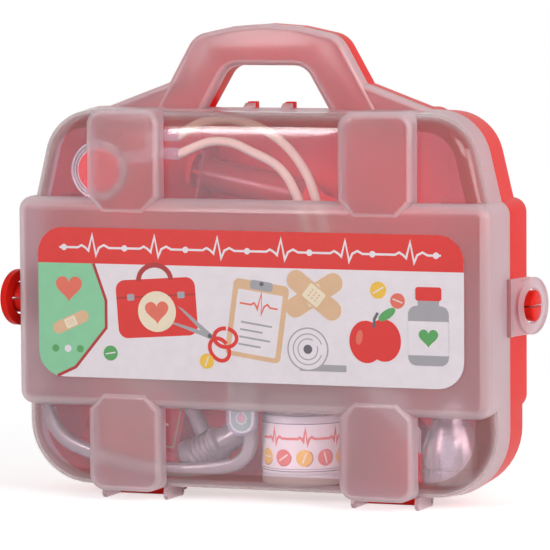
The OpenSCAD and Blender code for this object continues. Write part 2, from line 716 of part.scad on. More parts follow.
// ---- otoscope, standing on its wide eyepiece ----
otoscope_x = half_w - otoscope_inset;
otoscope_r = otoscope_d / 2;
// It stands in the lower corner's curve
otoscope_z = base_z + low_corner_r - sqrt(pow(low_corner_r - wall - 2 * seat, 2)
    - pow(otoscope_x + otoscope_r - 1.5 - half_w + low_corner_r, 2));
module at_otoscope() { translate([otoscope_x, mid_y, otoscope_z]) children(); }
module otoscope_head() {
    r = otoscope_r;
    h = otoscope_h;
    nose_r = 8.5;
    socket_r = 2;
    socket_d = 8;
    color(grey) at_otoscope() rotate_extrude($fn = 56) polygon([
        [0, 3], [r - 3, 3], [r - 3, 0], [r - 1.5, 0], [r, 2], [r, h * 0.32], [r - 1.5, h * 0.5],
        [r - 5, h * 0.72], [nose_r + 1, h * 0.82], [nose_r + 0.5, h * 0.9], [nose_r - 1, h],
        [socket_r, h], [socket_r, h - socket_d], [0, h - socket_d]]);
}
module otoscope_handle() {
    l = otoscope_handle_l;
    neck_w = 10;
    neck_l = 24;
    grip_w0 = 17;
    grip_w1 = 19;
    thick = 13;
    notch_r = 7;
    notch_pitch = 12;
    color(grey) difference() {
        at_otoscope() translate([-otoscope_r + 4, thick / 2, otoscope_h * 0.42]) rotate([90, 0, 0])
            linear_extrude(thick) rotate(90 + otoscope_lean) difference() {
                polygon([[0, -neck_w / 2], [neck_l, -neck_w / 2], [neck_l + 8, 0.5 - grip_w0 / 2 - 1],
                    [l, 0.5 - grip_w1 / 2 - 1], [l + 3, -6], [l + 3, 6], [l, grip_w1 / 2 - 0.5],
                    [neck_l + 8, grip_w0 / 2 - 0.5], [neck_l, neck_w / 2], [0, neck_w / 2]]);
                for (i = [0 : 3])
                    translate([neck_l + 14 + i * notch_pitch, -grip_w0 / 2 - 6]) circle(notch_r, $fn = 32);
            }
        at_otoscope() cylinder(r = otoscope_r + 0.05, h = otoscope_h, $fn = 56);
    }
}

rear_shell();
front_lid();
shell_hinge_feet();
lid_hinge_ears();
right_clip();
left_clip();
hinge_pins();
label_card();
chest_piece();
chest_disc();
tube_connector();
outer_tube();
inner_tube();
headset();
ear_tips();
pill_jar();
jar_label();
jar_cap();
plaster_carton();
thermometer_case();
thermometer_scale();
syringe_barrel();
syringe_tip();
syringe_plunger();
hammer_head();
hammer_handle();
otoscope_head();
otoscope_handle();
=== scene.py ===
import math

import bmesh
import bpy
from mathutils import Matrix, Vector


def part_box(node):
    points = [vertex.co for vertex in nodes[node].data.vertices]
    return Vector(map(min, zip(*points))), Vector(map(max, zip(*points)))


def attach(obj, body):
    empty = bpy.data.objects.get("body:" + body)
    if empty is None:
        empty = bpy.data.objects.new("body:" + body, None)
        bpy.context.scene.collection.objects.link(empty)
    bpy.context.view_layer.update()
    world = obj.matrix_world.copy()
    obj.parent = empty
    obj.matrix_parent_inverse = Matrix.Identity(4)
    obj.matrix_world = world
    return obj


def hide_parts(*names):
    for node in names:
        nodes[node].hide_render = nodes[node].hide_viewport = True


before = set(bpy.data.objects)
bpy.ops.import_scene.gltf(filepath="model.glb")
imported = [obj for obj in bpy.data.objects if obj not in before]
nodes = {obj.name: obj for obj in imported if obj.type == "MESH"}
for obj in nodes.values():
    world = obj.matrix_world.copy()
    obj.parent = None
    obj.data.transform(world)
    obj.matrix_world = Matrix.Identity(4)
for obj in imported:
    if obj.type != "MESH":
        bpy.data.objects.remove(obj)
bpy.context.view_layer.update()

MM = 0.001

# ---------------------------------------------------------------- sizes, in millimetres
# The case: _D is a depth from the parting plane, _R a radius and _Z a height
HALF_W = 150
BASE_Z = 6.3
TOP_Z = 235.5
HALF_D = 41
WALL = 2
PARTING = 0.15
LID_D = 31
SHELL_D = 38
DRAFT = 1.5
EDGE_R = 12
BAND_Z = (56.2, 182.8)
BAND_MID = sum(BAND_Z) / 2
BAND_D = 39.5
BAND_EDGE_R = 8
BAND_DRAFT = 0.3
BAND_R = 9
STRAP_X = 79.8
STRAP_HALF = 23.4
STRAP_R = 10
STRAP_EDGE_R = 4.5
STRAP_LAP = 10
HANDLE_FRONT_D = 9
HANDLE_REAR_D = 15
HANDLE_EDGE_R = 4
HANDLE_R = 15.5
# The split studs, the ring clips' pads and the catches on the top edge
STUD_R = 9.3
STUD_L = 11.3
STUD_Y = 17.0
SLIT_W = 1.2
PAD_HALF = 17
PAD_T = 2.6
CATCH_X = 12
CATCH_HALF = 2.75
# The card and its print
CARD_W, CARD_H, CARD_R, CARD_T = 269.5, 90, 16, 0.3
STRIP_H = 21.5
INK_T = 0.03
OVERPRINT = 0.002
# The stethoscope
TUBE_D = 5.5
ARM_R = 4
BEND_R = 30
LONG_R = 173.5
TURN_R = 16
EAR_ANGLE = 190
CHEST_R = 18
CHEST_T = 9
# The jar's wrap and cap, the carton and the hammer's head
WRAP_Z = (9, 39)
WRAP_OUT = (0.05, 0.24)
CAP_STEPS = 288
CAP_RIBS = 72
CAP_RIB_DEPTH = 0.55
CARTON_W, CARTON_D, CARTON_H = 62, 21, 98
CARTON_X = -69.15
CARTON_Z = BASE_Z + 11
CARTON_LEAN = 13
HAMMER_R = 11.5
HAMMER_HALF = 22
HAMMER_X = -34.65
HAMMER_Z = BASE_Z + 26
HAMMER_LEAN = -28


# ---------------------------------------------------------------- mesh helpers
def new_object(name, bm, smooth_angle=35):
    """A mesh object in metres from a bmesh in millimetres."""
    mesh = bpy.data.meshes.new(name)
    bm.to_mesh(mesh)
    bm.free()
    mesh.transform(Matrix.Scale(MM, 4))
    obj = bpy.data.objects.new(name, mesh)
    bpy.context.scene.collection.objects.link(obj)
    smooth(obj, smooth_angle)
    return obj


def smooth(obj, angle=35):
    obj.data.shade_smooth()
    obj.data.set_sharp_from_angle(angle=math.radians(angle))


def boolean(obj, tool, operation):
    """Unites, cuts or intersects obj with tool, and removes tool."""
    modifier = obj.modifiers.new("bool", "BOOLEAN")
    modifier.operation = operation
    modifier.solver = "MANIFOLD"
    modifier.object = tool
    graph = bpy.context.evaluated_depsgraph_get()
    mesh = bpy.data.meshes.new_from_object(obj.evaluated_get(graph))
    obj.modifiers.clear()
    obj.data = mesh
    bpy.data.objects.remove(tool)
    return obj


def united(parts):
    first = parts[0]
    for other in parts[1:]:
        boolean(first, other, "UNION")
    return first


def move(obj, matrix):
    obj.data.transform(matrix)
    return obj


def turned(angle, axis):
    return Matrix.Rotation(math.radians(angle), 4, axis)


def at(x, y, z):
    return Matrix.Translation(Vector((x, y, z)) * MM)


def box(node):
    """A node's lowest and highest corners, in millimetres."""
    return [Vector(corner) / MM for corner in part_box(node)]


def middle(node):
    low, high = box(node)
    return (low + high) / 2


def skin(name, rings, smooth_angle=35):
    """Closed solid through rings of [x, y, z] points, all with as many points; one point closes an end."""
    bm = bmesh.new()
    layers = [[bm.verts.new(p) for p in ring] for ring in rings]
    sides = max(len(ring) for ring in rings)
    for low, high in zip(layers, layers[1:]):
        for k in range(sides):
            j = (k + 1) % sides
            if len(low) == 1:
                bm.faces.new((low[0], high[j], high[k]))
            elif len(high) == 1:
                bm.faces.new((low[k], low[j], high[0]))
            else:
                bm.faces.new((low[k], low[j], high[j], high[k]))
    for ring in (layers[0], layers[-1]):
        if len(ring) > 2:
            bm.faces.new(ring)
    bmesh.ops.recalc_face_normals(bm, faces=bm.faces)
    return new_object(name, bm, smooth_angle)


def ring_of(r, z, steps, ribs=0, rib_depth=0.0):
    """A circle of points at height z, with ribs round it where ribs is set."""
    if r <= 0:
        return [(0, 0, z)]
    points = []
    for k in range(steps):
        a = 2 * math.pi * k / steps
        wave = rib_depth * (0.5 - 0.5 * math.cos(ribs * a)) if ribs else 0
        points.append(((r - wave) * math.cos(a), (r - wave) * math.sin(a), z))
    return points


def revolve(name, profile, steps=72, smooth_angle=35):
    """Solid of revolution about Z from (radius, height) points; radius 0 closes it."""
    return skin(name, [ring_of(r, z, steps) for r, z in profile], smooth_angle)


def block(lo, hi, name="block"):
    corners = [(lo[0], lo[1]), (hi[0], lo[1]), (hi[0], hi[1]), (lo[0], hi[1])]
    return skin(name, [[(x, y, z) for x, y in corners] for z in (lo[2], hi[2])])


def rounded_box(lo, hi, r, name="box"):
    """A block with all its edges rounded."""
    obj = block(lo, hi, name)
    bm = bmesh.new()
    bm.from_mesh(obj.data)
    bmesh.ops.bevel(bm, geom=bm.edges[:], offset=r * MM, segments=3, profile=0.5, affect="EDGES")
    bm.to_mesh(obj.data)
    bm.free()
    smooth(obj, 50)
    return obj


def arc(cx, cy, r, a0, a1, n=12, ry=None):
    """n + 1 points of an arc, angles in degrees."""
    ry = r if ry is None else ry
    turns = [math.radians(a0 + (a1 - a0) * k / n) for k in range(n + 1)]
    return [(cx + r * math.cos(a), cy + ry * math.sin(a)) for a in turns]


# ---------------------------------------------------------------- camera
def camera():
    """The photograph's view: from the right at 21 degrees, five degrees above level, through a long lens."""
    azimuth, elevation, roll = math.radians(21.0), math.radians(4.881), math.radians(-0.387)
    distance, target = 2.7, Vector((0, 0, 0.1323))
    back = Vector((math.sin(azimuth) * math.cos(elevation), -math.cos(azimuth) * math.cos(elevation),
                   math.sin(elevation)))
    right = Vector((math.cos(azimuth), math.sin(azimuth), 0))
    up = back.cross(right)
    side = right * math.cos(roll) + up * math.sin(roll)
    top = up * math.cos(roll) - right * math.sin(roll)
    data = bpy.data.cameras.new("camera")
    data.sensor_width = 36
    data.lens = 295.2
    data.shift_x = 0.0065
    data.shift_y = 0.0088
    data.clip_end = 20
    view = bpy.data.objects.new("camera", data)
    bpy.context.scene.collection.objects.link(view)
    turn = Matrix((side, top, back)).transposed().to_4x4()
    view.matrix_world = Matrix.Translation(target + back * distance) @ turn
    bpy.context.scene.camera = view


camera()


# ---------------------------------------------------------------- materials
class Nodes:
    """Short way to write a material's node tree."""

    def __init__(self, name):
        self.mat = bpy.data.materials.new(name)
        self.mat.use_nodes = True
        self.tree = self.mat.node_tree
        self.tree.nodes.clear()
        self.out = self.tree.nodes.new("ShaderNodeOutputMaterial")

    def node(self, kind, **inputs):
        made = self.tree.nodes.new("ShaderNode" + kind)
        for key, value in inputs.items():
            self.put(made.inputs[key.replace("_", " ")], value)
        return made

    def put(self, socket, value):
        if isinstance(value, bpy.types.NodeSocket):
            self.tree.links.new(value, socket)
        else:
            socket.default_value = value

    def place(self):
        return self.node("TexCoord").outputs["Object"]

    def noise(self, scale, detail=3, rough=0.5):
        made = self.node("TexNoise", Scale=scale, Detail=detail, Roughness=rough)
        self.put(made.inputs["Vector"], self.place())
        return made.outputs["Fac"]

    def ramp(self, value, low, high, from_low=0.3, from_high=0.7):
        made = self.node("MapRange")
        self.put(made.inputs["Value"], value)
        for key, v in (("From Min", from_low), ("From Max", from_high), ("To Min", low), ("To Max", high)):
            made.inputs[key].default_value = v
        return made.outputs["Result"]

    def mix(self, factor, a, b):
        made = self.tree.nodes.new("ShaderNodeMix")
        made.data_type = "RGBA"
        self.put(made.inputs["Factor"], factor)
        self.put(made.inputs["A"], a)
        self.put(made.inputs["B"], b)
        return made.outputs["Result"]

    def blend(self, factor, a, b):
        """Shader a where factor is 0, b where it is 1."""
        made = self.node("MixShader")
        for socket, value in zip(made.inputs, (factor, a, b)):
            self.put(socket, value)
        return made.outputs[0]

    def bump(self, height, strength, distance):
        made = self.node("Bump", Strength=strength, Distance=distance)
        self.put(made.inputs["Height"], height)
        return made.outputs["Normal"]

    def flowed(self, colour, vary, scale=18):
        """The colour, a little darker in slow clouds."""
        darker = tuple(c * (1 - vary) for c in colour[:3]) + (1,)
        return self.mix(self.ramp(self.noise(scale, 4), 0, 1), colour, darker)

    def finish(self, shader):
        self.put(self.out.inputs["Surface"], shader)
        return self.mat


def rgb(r, g, b):
    """sRGB 0-255 to a linear colour."""
    def linear(c):
        c /= 255
        return c / 12.92 if c <= 0.04045 else ((c + 0.055) / 1.055) ** 2.4
    return (linear(r), linear(g), linear(b), 1)


def plastic(name, colour, rough=0.25, vary=0.06, bump=0.03, coat=0.0, ior=1.45, grain=900, metal=0.0):
    """Moulded plastic: slight flow marks in the colour, fine grain in the gloss."""
    n = Nodes(name)
    fine = n.noise(grain, 2)
    p = n.node("BsdfPrincipled", Base_Color=n.flowed(colour, vary), IOR=ior, Metallic=metal,
               Roughness=n.ramp(fine, rough * 0.85, rough * 1.15), Coat_Weight=coat, Coat_Roughness=0.08)
    n.put(p.inputs["Normal"], n.bump(n.noise(60, 3), bump, 0.0004))
    return n.finish(p.outputs["BSDF"])


# Where edge haze starts and is whole, from 0 face on to 1 edge on, and the heights in metres between
# which foot haze fades out
EDGE_HAZE = (0.15, 0.75)
FOOT_HAZE = (0.06, 0.17)


def see_through(name, colour, through, rough, lets_in, coat=0.25, coat_rough=0.18, edge=0.0, cloud=0.0):
    """Clear or cloudy plastic: through is the share that passes, rough blurs what lies behind it,
    lets_in tints the light that falls in through one face, edge is the haze seen at a low angle and
    cloud the haze that grows towards the foot."""
    n = Nodes(name)
    fine = n.noise(500, 2)
    p = n.node("BsdfPrincipled", Base_Color=n.flowed(colour, 0.05, 22), IOR=1.3,
               Roughness=n.ramp(fine, rough * 0.92, rough * 1.08), Transmission_Weight=through,
               Coat_Weight=coat, Coat_Roughness=coat_rough)
    if edge or cloud:
        facing = n.node("LayerWeight", Blend=0.5)
        height = n.node("SeparateXYZ", Vector=n.place()).outputs["Z"]
        share = n.node("Math")
        share.operation = "SUBTRACT"
        n.put(share.inputs[0], n.ramp(facing.outputs["Facing"], through, through - edge, *EDGE_HAZE))
        n.put(share.inputs[1], n.ramp(height, cloud, 0, *FOOT_HAZE))
        n.put(p.inputs["Transmission Weight"], share.outputs[0])
    n.put(p.inputs["Normal"], n.bump(n.noise(45, 3), 0.05, 0.0006))
    shade = n.node("BsdfTransparent", Color=lets_in)
    path = n.node("LightPath")
    return n.finish(n.blend(path.outputs["Is Shadow Ray"], p.outputs["BSDF"], shade.outputs[0]))


def clear(name, colour, solid, rough=0.08, edge=0.3):
    """Clear moulded plastic: solid is the share of what lies behind one face that is veiled, and edge
    how much more is at a low angle."""
    n = Nodes(name)
    fine = n.noise(500, 2)
    p = n.node("BsdfPrincipled", Base_Color=n.flowed(colour, 0.08, 22),
               Roughness=n.ramp(fine, rough * 0.85, rough * 1.15), Coat_Weight=1.0, Coat_Roughness=0.04)
    n.put(p.inputs["Normal"], n.bump(n.noise(30, 2), 0.03, 0.0006))
    hole = n.node("BsdfTransparent")
    facing = n.node("LayerWeight", Blend=0.25)
    amount = n.ramp(facing.outputs["Facing"], solid, solid + edge, 0.0, 1.0)
    return n.finish(n.blend(amount, hole.outputs[0], p.outputs["BSDF"]))


def print_ink(name, colour, rough=0.38):
    """Ink on coated card: fibre tone and a faint screen in the gloss."""
    n = Nodes(name)
    p = n.node("BsdfPrincipled", Base_Color=n.flowed(colour, 0.05, 140),
               Roughness=n.ramp(n.noise(2000, 1), rough - 0.05, rough + 0.05))
    n.put(p.inputs["Normal"], n.bump(n.noise(700, 2), 0.04, 0.0002))
    return n.finish(p.outputs["BSDF"])


RED = plastic("red_plastic", rgb(238, 38, 30), rough=0.34, ior=1.15)
FROST_LIGHT = (0.61, 0.55, 0.57, 1)
FROSTED = see_through("frosted_plastic", (0.78, 0.62, 0.66, 1), through=0.86, rough=0.42,
                      lets_in=FROST_LIGHT, coat=0.3, coat_rough=0.12, edge=0.3, cloud=0.08)
# A paler, less clear copy of the frosted plastic for rounded edges: partly painted light where the edges
# catch the lamps, partly the whiter look of plastic seen through more of its thickness
FROST_PAINTED_LIGHT = see_through("frosted_painted_light_edge", (0.88, 0.76, 0.79, 1), through=0.75, rough=0.42,
                         lets_in=FROST_LIGHT, coat=0.5, coat_rough=0.1, edge=0.2)
RIM = see_through("rim_plastic", (0.67, 0.53, 0.54, 1), through=0.92, rough=0.12,
                  lets_in=(0.82, 0.78, 0.78, 1), coat=0.3, coat_rough=0.05, edge=0.45)
WINDOW = see_through("window_plastic", (0.91, 0.83, 0.94, 1), through=0.935, rough=0.04,
                     lets_in=(0.91, 0.88, 0.89, 1), coat=0.3, coat_rough=0.04)
CLEAR = clear("clear_plastic", rgb(225, 228, 230), solid=0.22)
GREY = plastic("grey_plastic", rgb(156, 146, 138), rough=0.3, metal=0.3, coat=0.2)
WHITE = plastic("white_plastic", rgb(238, 234, 222), rough=0.25, vary=0.03)
TUBE = plastic("tube_vinyl", rgb(222, 192, 166), rough=0.36, vary=0.04, ior=1.3)
STEEL = plastic("steel_pin", rgb(150, 150, 152), rough=0.3)
PEARL = plastic("pearl_plastic", rgb(206, 196, 190), rough=0.24, vary=0.04, metal=0.8)
SYRINGE = see_through("syringe_plastic", (0.8, 0.1, 0.08, 1), through=0.6, rough=0.2,
                      lets_in=(0.6, 0.15, 0.15, 1), coat=0.0)
MILKY = see_through("milky_plastic", (0.93, 0.9, 0.84, 1), through=0.35, rough=0.4,
                    lets_in=(0.75, 0.75, 0.75, 1))
BOARD = print_ink("carton_board", rgb(214, 34, 40))
JAR_PAPER = print_ink("jar_paper", rgb(238, 230, 218))

INK_TONES = {
    "white": (238, 228, 234), "red": (226, 46, 40), "deep_red": (178, 44, 46), "green": (140, 206, 162),
    "leaf": (88, 164, 92), "grey": (168, 164, 170), "dark": (98, 92, 100), "tan": (226, 184, 146),
    "cream": (244, 226, 200), "yellow": (244, 194, 70), "coral": (232, 112, 92), "olive": (176, 150, 86)}
INKS = {name: print_ink("ink_" + name, rgb(*tone)) for name, tone in INK_TONES.items()}


def paint(obj, *materials):
    """Sets the material slots and leaves each face's slot number as it is."""
    slots = obj.data.materials
    for k, material in enumerate(materials):
        if k < len(slots):
            slots[k] = material
        else:
            slots.append(material)
    return obj


def keep(node, material):
    """A CAD node that shows as it is, with its finish."""
    paint(nodes[node], material)


def stand_for(obj, node, body, slot, *materials):
    """A piece that shows in a CAD node's place, on the body that it moves with."""
    paint(obj, *materials)
    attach(obj, body)
    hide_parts(node)


# ---------------------------------------------------------------- swept forms and the tubes
def bulge(a, power):
    """How far out a rounded square reaches at angle a; power 2 makes it a circle."""
    return (abs(math.cos(a)) ** power + abs(math.sin(a)) ** power) ** (-1 / power)


def sweep(name, route, radii, sides, power, first, last):
    """A tube along the route, its ends square to first and last; squarish where power is over 2."""
    end = len(route) - 1
    rings = []
    for i, point in enumerate(route):
        along = first if i == 0 else last if i == end else (route[i + 1] - route[i - 1]).normalized()
        u = along.cross(Vector((0, 1, 0.001))).normalized()
        w = along.cross(u)
        turns = [2 * math.pi * k / sides for k in range(sides)]
        rings.append([point + radii[i] * bulge(a, power) * (u * math.cos(a) + w * math.sin(a))
                      for a in turns])
    return skin(name, rings, 40)


def curve_through(points, steps=5):
    """A smooth line through the points of a route."""
    points = [Vector(p) for p in points]
    line = []
    for i in range(len(points) - 1):
        p0, p1, p2, p3 = points[max(i - 1, 0)], points[i], points[i + 1], points[min(i + 2, len(points) - 1)]
        for k in range(steps):
            t = k / steps
            line.append(0.5 * (2 * p1 + (p2 - p0) * t + (2 * p0 - 5 * p1 + 4 * p2 - p3) * t * t
                               + (3 * p1 - 3 * p2 + p3 - p0) * t ** 3))
    return line + [points[-1]]


def metres(points):
    return [Vector(p) * MM for p in points]


def length_of(line):
    return sum((b - a).length for a, b in zip(line, line[1:]))


OUTER_ROUTE = [
    (4.85, -17, 81.325), (11, -17, 82), (20, -17, 84), (30, -16, 90), (37, -15, 100), (41, -14, 113),
    (42, -13, 127), (42, -12, 142), (40, -12, 157), (37, -12, 170), (33, -12, 183), (28, -12, 196),
    (19, -12, 209), (9, -12, 218), (-4, -12, 225), (-20, -12, 229), (-34, -15, 228), (-43, -20, 224),
    (-49, -23, 219.5)]
INNER_ROUTE = [
    (4.85, -17, 95.325), (11, -17, 96), (18, -17, 99), (24, -17, 105), (28, -18, 115), (31, -18, 128),
    (31, -18, 142), (30, -18, 156), (28, -18, 170), (24, -18, 183), (17, -18, 196), (8, -18, 204),
    (-5, -18, 210), (-17, -18, 215), (-29, -19, 216), (-39, -21, 213), (-49, -23, 208.5)]


def tube(node, route):
    """A limp vinyl tube from its socket on the headset to the fork at the chest piece."""
    line = curve_through(route)
    obj = sweep(node + "_vinyl", line, [TUBE_D / 2] * len(line), 20, 2, Vector((1, 0, 0)), Vector((-1, 0, 0)))
    stand_for(obj, node, "root", "tube_vinyl", TUBE)
    metres(route)[0]
    length_of(line) * MM
    metres(line)


tube("outer_tube", OUTER_ROUTE)
tube("inner_tube", INNER_ROUTE)


# ---------------------------------------------------------------- the case
def outline(corners, inset, step=7.5):
    """Convex outline round corner circles [x, z, r], anticlockwise, moved in by inset."""
    points = []
    count = len(corners)
    normals = []
    for i in range(count):
        ax, az, ar = corners[i]
        bx, bz, br = corners[(i + 1) % count]
        along = Vector((bx - ax, bz - az))
        length = along.length
        along.normalize()
        lean = (ar - br) / length
        out = Vector((along.y, -along.x))
        normals.append(along * lean + out * math.sqrt(max(0.0, 1 - lean * lean)))
    for i in range(count):
        x, z, r = corners[i]
        n0, n1 = normals[i - 1], normals[i]
        turn = math.atan2(n0.x * n1.y - n0.y * n1.x, n0.dot(n1)) % (2 * math.pi)
        start = math.atan2(n0.y, n0.x)
        left = r - inset
        least = 0.05
        if left < least:
            mitre = (n0 + n1) / (1 + n0.dot(n1))
            x -= mitre.x * (least - left)
            z -= mitre.y * (least - left)
            left = least
        steps = max(3, math.ceil(math.degrees(turn) / step))
        for k in range(steps + 1):
            a = start + turn * k / steps
            points.append((x + left * math.cos(a), z + left * math.sin(a)))
    return points


def levels(depth, edge_r, lean, t):
    """Depth and inset down a half's wall and round its front edge, t inside the skin."""
    found = [(-1 if t else PARTING, t)]
    steps = 10
    for k in range(steps + 1):
        a = math.pi / 2 * k / steps
        found.append((depth - edge_r + (edge_r - t) * math.sin(a),
                      lean + edge_r - (edge_r - t) * math.cos(a)))
    return found


def pillow(side, corners, slices, name="pillow"):
    """A solid of the corners' outline, with a depth towards that side and an inset for each slice."""
    return skin(name, [[(x, side * depth, z) for x, z in outline(corners, inset)]
                       for depth, inset in slices])


def both_sides(right):
    """Corner circles of the right side from the bottom up, and their mirror images down again."""
    return right + [(-x, z, r) for x, z, r in reversed(right)]


CORE = both_sides([(110, BASE_Z + 40, 40), (140, BAND_Z[1] - 23, 10), (107, TOP_Z - 32, 32)])
BAND = both_sides([(HALF_W - BAND_R, BAND_Z[0] + BAND_R, BAND_R),
                   (HALF_W - BAND_R, BAND_Z[1] - BAND_R, BAND_R)])
HANDLE_RIGHT = [(70, TOP_Z - 3, 2), (36, 265, HANDLE_R), (18, 268.75, HANDLE_R)]
HANDLE = HANDLE_RIGHT + [(0, 270, HANDLE_R)] + [(-x, z, r) for x, z, r in reversed(HANDLE_RIGHT)]
GRIP = both_sides([(40.5, TOP_Z - 4, 1), (17.5, 248.7, 12.2)])


def strap_corners(sign, upper):
    """A strap seen from the front: rounded at the case's end, bevelled where it laps the band."""
    cx = sign * STRAP_X
    end, edge = (TOP_Z, BAND_Z[1]) if upper else (BASE_Z, BAND_Z[0])
    v = 1 if upper else -1
    lap = edge - v * STRAP_LAP
    right = [(STRAP_HALF - STRAP_R, lap + v * 0.5, 0.5), (STRAP_HALF - 0.5, edge + v * 0.5, 0.5),
             (STRAP_HALF - STRAP_R, end - v * STRAP_R, STRAP_R)]
    loop = both_sides(right)
    if not upper:
        loop = loop[::-1]
    return [(cx + x, z, r) for x, z, r in loop]


def shoulder_corners(sign):
    """The shoulder over a strap that rises to the handle's foot, seen from the front."""
    loop = [(50, TOP_Z - 12, 4), (100, TOP_Z - 20, 5), (104.5, TOP_Z - 6.5, 5.5), (57, TOP_Z + 11, 5.5)]
    if sign < 0:
        loop = [(-x, z, r) for x, z, r in reversed(loop)]
    return loop


def grip_cutter(side, depth, t):
    """The finger opening with a rounded front edge, t wider all round."""
    r = HANDLE_EDGE_R
    slices = [(-1.0, -t)]
    for k in range(9):
        a = math.pi / 2 * k / 8
        slices.append((depth - r + (r - t) * math.sin(a), -(r - (r - t) * math.cos(a))))
    slices.append((depth + 5, -r))
    return pillow(side, GRIP, slices, "grip")


def half_form(side, depth, handle_depth, t):
    """One half of the case as a solid, t inside its outer skin."""
    parts = [pillow(side, CORE, levels(depth, EDGE_R, DRAFT, t)),
             pillow(side, BAND, levels(BAND_D, BAND_EDGE_R, BAND_DRAFT, t))]
    for sign in (-1, 1):
        for upper in (True, False):
            parts.append(pillow(side, strap_corners(sign, upper), levels(HALF_D, STRAP_EDGE_R, 0, t)))
        parts.append(pillow(side, shoulder_corners(sign), levels(handle_depth - 1, HANDLE_EDGE_R, 0, t)))
    grip = grip_cutter(side, handle_depth, t)
    handle = pillow(side, HANDLE, levels(handle_depth, HANDLE_EDGE_R, 0, t))
    parts.append(boolean(handle, grip, "DIFFERENCE"))
    return united(parts)


def stud(side):
    """Split stud with a bead near its end, on the side wall that the other half's ring goes over."""
    body = revolve("stud", [
        (0, -1.5), (STUD_R - 0.2, -1.5), (STUD_R - 0.2, STUD_L - 3), (STUD_R, STUD_L - 2),
        (STUD_R, STUD_L - 1), (STUD_R - 0.6, STUD_L - 0.3), (STUD_R - 1.4, STUD_L), (0, STUD_L)])
    move(body, at(HALF_W, STUD_Y, BAND_MID) @ turned(90, "Y"))
    slit = block((HALF_W + STUD_L / 3, STUD_Y - 12, BAND_MID - SLIT_W / 2),
                 (HALF_W + 12, STUD_Y + 12, BAND_MID + SLIT_W / 2))
    boolean(body, slit, "DIFFERENCE")
    if side < 0:
        move(body, turned(180, "Z"))
    return body


def clip_pad(side):
    """The pad on the side wall that a ring clip grows from."""
    pad = block((HALF_W - 1, -6.2, BAND_MID - PAD_HALF), (HALF_W + PAD_T, -1.2, BAND_MID + PAD_HALF))
    if side > 0:
        move(pad, turned(180, "Z"))
    return pad


def catches(side):
    """Two small catches on the top edge: blocks on the shell, ramps on the lid."""
    found = []
    for x in (-CATCH_X, CATCH_X):
        ends = (x - CATCH_HALF, x + CATCH_HALF)
        if side > 0:
            found.append(rounded_box((ends[0], 0.3, TOP_Z - 1), (ends[1], 6.3, TOP_Z + 3.5), 0.6))
        else:
            ring = [(-9, TOP_Z - 1), (-0.3, TOP_Z - 1), (-0.3, TOP_Z + 2.8), (-2.6, TOP_Z + 2.8)]
            found.append(skin("catch", [[(end, y, z) for y, z in ring] for end in ends]))
    return found


def half_shell(name, side, depth, handle_depth):
    """One half of the case with its wall, stud, pad and catches."""
    shell = half_form(side, depth, handle_depth, 0)
    boolean(shell, half_form(side, depth, handle_depth, WALL), "DIFFERENCE")
    for extra in [stud(side), clip_pad(side)] + catches(side):
        boolean(shell, extra, "UNION")
    shell.name = shell.data.name = name
    smooth(shell, 30)
    return shell


CORE_EDGE = outline(CORE, 0)


def inside_core(x, z):
    """How far a point lies inside the core's outline, seen from the front."""
    least = math.inf
    for (ax, az), (bx, bz) in zip(CORE_EDGE, CORE_EDGE[1:] + CORE_EDGE[:1]):
        length = math.hypot(bx - ax, bz - az)
        if length > 1e-6:
            least = min(least, ((bx - ax) * (z - az) - (bz - az) * (x - ax)) / length)
    return least


PLAIN, CLEAR_WINDOW, WINDOW_RIM, RED_STUD, PAINTED_LIGHT_EDGE = range(5)
LID_FINISHES = (FROSTED, WINDOW, RIM, RED, FROST_PAINTED_LIGHT)


def zone(face):
    """Which of the lid's finishes a face has. The window's rim is the core's rounded edge, outside and
    in; the stud shows the red of its ring; the other rounded edges get a paler copy of the frosted
    plastic, partly painted light where they catch the lamps and partly the whiter look of thicker plastic."""
    x, y, z = face.center / MM
    if x < -HALF_W - 0.2 and math.hypot(y + STUD_Y, z - BAND_MID) < STUD_R + 0.5:
        return RED_STUD
    d = -y - (LID_D - EDGE_R)
    for t in (0, WALL):
        r = EDGE_R - t
        if 0 < d <= r + 0.1:
            expected = DRAFT + EDGE_R - math.sqrt(max(0.0, r * r - min(d, r) ** 2))
            inset = inside_core(x, z)
            if abs(d - r) < 0.1 and inset > expected - 0.5:
                return CLEAR_WINDOW
            if abs(inset - expected) < 0.45:
                return WINDOW_RIM
    # Other rounded edges get the paler frosted copy, which is partly painted light where they catch the lamps
    return PAINTED_LIGHT_EDGE if 0.25 < abs(face.normal.y) < 0.97 else PLAIN


def build_case():
    shell = half_shell("shell_body", 1, SHELL_D, HANDLE_REAR_D)
    stand_for(shell, "rear_shell", "root", "red_plastic", RED)
    lid = half_shell("lid_body", -1, LID_D, HANDLE_FRONT_D)
    stand_for(lid, "front_lid", "lid", "frosted_plastic", *LID_FINISHES)
    for face in lid.data.polygons:
        face.material_index = zone(face)
    keep("lid_hinge_ears", FROSTED)
    keep("shell_hinge_feet", RED)
    keep("hinge_pins", STEEL)
    keep("right_clip", FROSTED)
    keep("left_clip", RED)


build_case()


# ---------------------------------------------------------------- printed shapes
def rounded(cx, cy, w, h, r):
    """Rounded rectangle about its middle."""
    points = []
    for x, y, a in ((1, 1, 0), (-1, 1, 90), (-1, -1, 180), (1, -1, 270)):
        points += arc(cx + x * (w / 2 - r), cy + y * (h / 2 - r), r, a, a + 90, 6)
    return points


def disc(cx, cy, rx, ry=None):
    return arc(cx, cy, rx, 0, 360 - 360 / 40, 39, ry)


def placed(points, x, y, angle=0.0, scale=1.0):
    c, s = math.cos(math.radians(angle)) * scale, math.sin(math.radians(angle)) * scale
    return [(x + u * c - v * s, y + u * s + v * c) for u, v in points]


